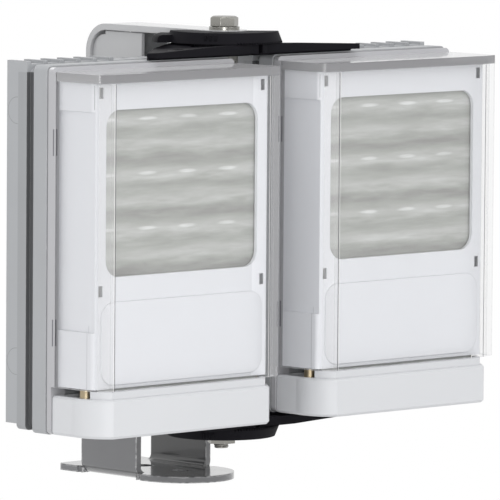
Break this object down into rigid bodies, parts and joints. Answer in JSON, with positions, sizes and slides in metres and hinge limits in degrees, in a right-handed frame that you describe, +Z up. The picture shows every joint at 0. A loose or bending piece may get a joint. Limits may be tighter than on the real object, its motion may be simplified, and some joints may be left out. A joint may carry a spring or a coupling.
{
  "type": "white light illuminator",
  "caption": "Twin white-light security lamp: side-by-side finned housings with clear covers on hinge arms, held by a tilting stirrup on a folded mounting foot.",
  "frame": {"origin": "centre of the foot's round fixing hole, on the foot's underside", "axes": "+Z up out of the foot's plate, the lamps face -Y, +X runs from the left lamp to the right one as seen from the front"},
  "size_m": [0.287, 0.1592, 0.2452],
  "materials": {
    "cast_aluminium": "fine matt cast surface",
    "gasket_rubber": "matt",
    "clear_cover": "clear moulded polycarbonate",
    "white_plastic": "satin white",
    "white_cap": "satin white",
    "brass": "turned",
    "frosted_sheet": "frosted",
    "reflector_chrome": "vacuum metallised",
    "circuit_board": "white solder mask",
    "light_source": "clear dome over phosphor",
    "thermal_pad": "soft",
    "driver_parts": "satin",
    "black_plastic": "satin, fine grain",
    "stainless": "bright stainless",
    "bracket_grey": "light grey powder coat",
    "foot_grey": "mid grey gloss coat",
    "nylon": "natural"
  },
  "bodies": {
    "foot": {"foot_bracket": "foot_grey", "tilt_bolt": "stainless", "tilt_nut": "stainless", "tilt_washers": "stainless", "tilt_spacers": "nylon"},
    "yoke": {"top_index_cap": "black_plastic", "bottom_index_cap": "black_plastic", "top_pivot_bolt": "stainless", "top_pivot_washer": "stainless", "top_pivot_nut": "stainless", "bottom_pivot_bolt": "stainless", "bottom_pivot_nut": "stainless", "stirrup": "bracket_grey", "inner_channel": "bracket_grey", "channel_rivets": "stainless"},
    "left_lamp": {"left_heatsink": "cast_aluminium", "left_cover_gasket": "gasket_rubber", "left_clear_cover": "clear_cover", "left_white_bezel": "white_plastic", "left_end_cap": "white_cap", "left_cap_screws": "brass", "left_diffuser": "frosted_sheet", "left_reflector": "reflector_chrome", "left_led_board": "circuit_board", "left_leds": "light_source", "left_thermal_pad": "thermal_pad", "left_driver_board": "circuit_board", "left_driver_parts": "driver_parts", "left_cable_gland": "black_plastic", "left_cover_screws": "stainless", "left_arm_screws": "stainless", "left_top_arm": "black_plastic", "left_bottom_arm": "black_plastic"},
    "right_lamp": {"right_heatsink": "cast_aluminium", "right_cover_gasket": "gasket_rubber", "right_clear_cover": "clear_cover", "right_white_bezel": "white_plastic", "right_end_cap": "white_cap", "right_cap_screws": "brass", "right_diffuser": "frosted_sheet", "right_reflector": "reflector_chrome", "right_led_board": "circuit_board", "right_leds": "light_source", "right_thermal_pad": "thermal_pad", "right_driver_board": "circuit_board", "right_driver_parts": "driver_parts", "right_cable_gland": "black_plastic", "right_cover_screws": "stainless", "right_arm_screws": "stainless", "right_top_arm": "black_plastic", "right_bottom_arm": "black_plastic"}
  },
  "joints": [
    {"name": "tilt", "type": "hinge", "parent": "foot", "child": "yoke", "pos_m": [0, 0, 0.0575], "axis": [-1, 0, 0], "range_deg": [-5, 60]},
    {"name": "left_pan", "type": "hinge", "parent": "yoke", "child": "left_lamp", "pos_m": [0, -0.06, 0.1315], "axis": [0, 0, -1], "range_deg": [0, 30]},
    {"name": "right_pan", "type": "hinge", "parent": "yoke", "child": "right_lamp", "pos_m": [0, -0.06, 0.1315], "axis": [0, 0, 1], "range_deg": [0, 30]}
  ]
}
